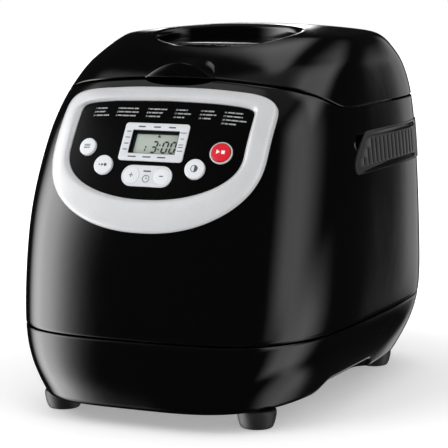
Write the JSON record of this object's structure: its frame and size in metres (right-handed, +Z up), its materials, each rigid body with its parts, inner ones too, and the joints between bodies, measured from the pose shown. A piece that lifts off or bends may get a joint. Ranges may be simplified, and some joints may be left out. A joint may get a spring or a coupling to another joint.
{
  "type": "bread machine",
  "caption": "Domestic bread machine with a hinged lid and window, removable pan and kneading paddle, and a sloping control panel with display and buttons.",
  "frame": {"origin": "centre of the machine on the surface it stands on", "axes": "+Z up, front panel towards -Y, +X to the right seen from the front"},
  "size_m": [0.2554, 0.3611, 0.2862],
  "materials": {
    "body_black": "high gloss black moulding",
    "bezel_silver": "satin silver paint over plastic",
    "fascia_black": "gloss black overlay with printed legends",
    "lcd_surround": "pale grey plastic",
    "lcd_screen": "reflective liquid crystal display behind a clear cover",
    "button_grey": "pale grey plastic",
    "button_red": "red plastic",
    "grille_grey": "dark grey moulding",
    "deck_black": "black heat resistant plastic",
    "rubber_black": "black rubber",
    "window_glass": "clear toughened glass",
    "liner_metal": "pressed sheet metal",
    "element_steel": "heat darkened steel sheath",
    "pan_coating": "dark non-stick coating",
    "pan_metal": "bare cast aluminium",
    "bright_steel": "bright steel",
    "motor_iron": "laminated iron",
    "board_green": "printed circuit board",
    "capacitor_white": "white plastic can"
  },
  "bodies": {
    "housing": {"base_tray": "body_black", "main_housing": "body_black", "top_deck": "deck_black", "chamber_liner": "liner_metal", "heating_element": "element_steel", "temperature_probe": "element_steel", "cord_inlet": "grille_grey", "vent_grille_left": "grille_grey", "vent_grille_right": "grille_grey", "panel_bezel": "bezel_silver", "panel_fascia": "fascia_black", "lcd_frame": "lcd_surround", "lcd_module": "lcd_screen", "timer_surround": "lcd_surround", "start_ring": "bezel_silver", "display_board": "board_green", "foot_front_left": "rubber_black", "foot_front_right": "rubber_black", "foot_rear_left": "rubber_black", "foot_rear_right": "rubber_black", "base_screw_1": "bright_steel", "base_screw_2": "bright_steel", "base_screw_3": "bright_steel", "base_screw_4": "bright_steel", "hinge_leaf_left": "bright_steel", "hinge_leaf_right": "bright_steel", "hinge_pin": "bright_steel", "drive_bearing": "bright_steel", "drive_belt": "rubber_black", "drive_bracket": "bright_steel", "motor_stator": "motor_iron", "run_capacitor": "capacitor_white", "power_board": "board_green"},
    "lid": {"lid_shell": "body_black", "window_well": "body_black", "lid_window": "window_glass", "lid_liner": "liner_metal", "lid_grip": "body_black", "lid_hinge_leaf": "bright_steel"},
    "pan": {"bread_pan": "pan_coating", "pan_foot": "pan_metal", "pan_bearing": "rubber_black", "bail_rivet_left": "bright_steel", "bail_rivet_right": "bright_steel"},
    "bail": {"bail_handle": "bright_steel"},
    "paddle": {"pan_shaft": "bright_steel", "pan_dog": "pan_metal", "kneading_paddle": "pan_coating"},
    "drive": {"drive_coupling": "pan_metal", "drive_shaft": "bright_steel", "belt_wheel": "deck_black"},
    "motor": {"motor_shaft": "bright_steel", "motor_pulley": "deck_black", "motor_rotor": "motor_iron"},
    "menu_button": {"menu_button": "button_grey"},
    "weight_button": {"weight_button": "button_grey"},
    "timer_plus_button": {"timer_plus_button": "button_grey"},
    "timer_minus_button": {"timer_minus_button": "button_grey"},
    "crust_button": {"crust_button": "button_grey"},
    "start_button": {"start_button": "button_red"}
  },
  "joints": [
    {"name": "lid_hinge", "type": "hinge", "parent": "housing", "child": "lid", "pos_m": [0, 0.169, 0.2285], "axis": [-1, 0, 0], "range_deg": [0, 85]},
    {"name": "pan_lift", "type": "slide", "parent": "housing", "child": "pan", "axis": [0, 0, 1], "range_m": [0, 0.01]},
    {"name": "bail_swing", "type": "hinge", "parent": "pan", "child": "bail", "pos_m": [0, 0.04, 0.194], "axis": [1, 0, 0], "range_deg": [0, 151]},
    {"name": "motor_spin", "type": "hinge", "parent": "housing", "child": "motor", "pos_m": [0, -0.098, 0.06], "axis": [0, 0, 1], "continuous": true},
    {"name": "drive_spin", "type": "hinge", "parent": "housing", "child": "drive", "pos_m": [0, 0.04, 0.04], "axis": [0, 0, 1], "continuous": true},
    {"name": "paddle_spin", "type": "hinge", "parent": "pan", "child": "paddle", "pos_m": [0, 0.04, 0.08], "axis": [0, 0, 1], "continuous": true},
    {"name": "menu_press", "type": "slide", "parent": "housing", "child": "menu_button", "axis": [0.1187, 0.8659, -0.4859], "range_m": [0, 0.0012], "stiffness_N_per_m": 400},
    {"name": "weight_press", "type": "slide", "parent": "housing", "child": "weight_button", "axis": [0.0431, 0.8802, -0.4726], "range_m": [0, 0.0012], "stiffness_N_per_m": 400},
    {"name": "timer_plus_press", "type": "slide", "parent": "housing", "child": "timer_plus_button", "axis": [0.0023, 0.8869, -0.4619], "range_m": [0, 0.0012], "stiffness_N_per_m": 400},
    {"name": "timer_minus_press", "type": "slide", "parent": "housing", "child": "timer_minus_button", "axis": [-0.0023, 0.8869, -0.4619], "range_m": [0, 0.0012], "stiffness_N_per_m": 400},
    {"name": "crust_press", "type": "slide", "parent": "housing", "child": "crust_button", "axis": [-0.0431, 0.8802, -0.4726], "range_m": [0, 0.0012], "stiffness_N_per_m": 400},
    {"name": "start_press", "type": "slide", "parent": "housing", "child": "start_button", "axis": [-0.1218, 0.8656, -0.4857], "range_m": [0, 0.0012], "stiffness_N_per_m": 400}
  ],
  "couplings": [
    {"joint": "drive_spin", "follows": "motor_spin", "ratio": 0.16667},
    {"joint": "paddle_spin", "follows": "motor_spin", "ratio": 0.16667}
  ]
}
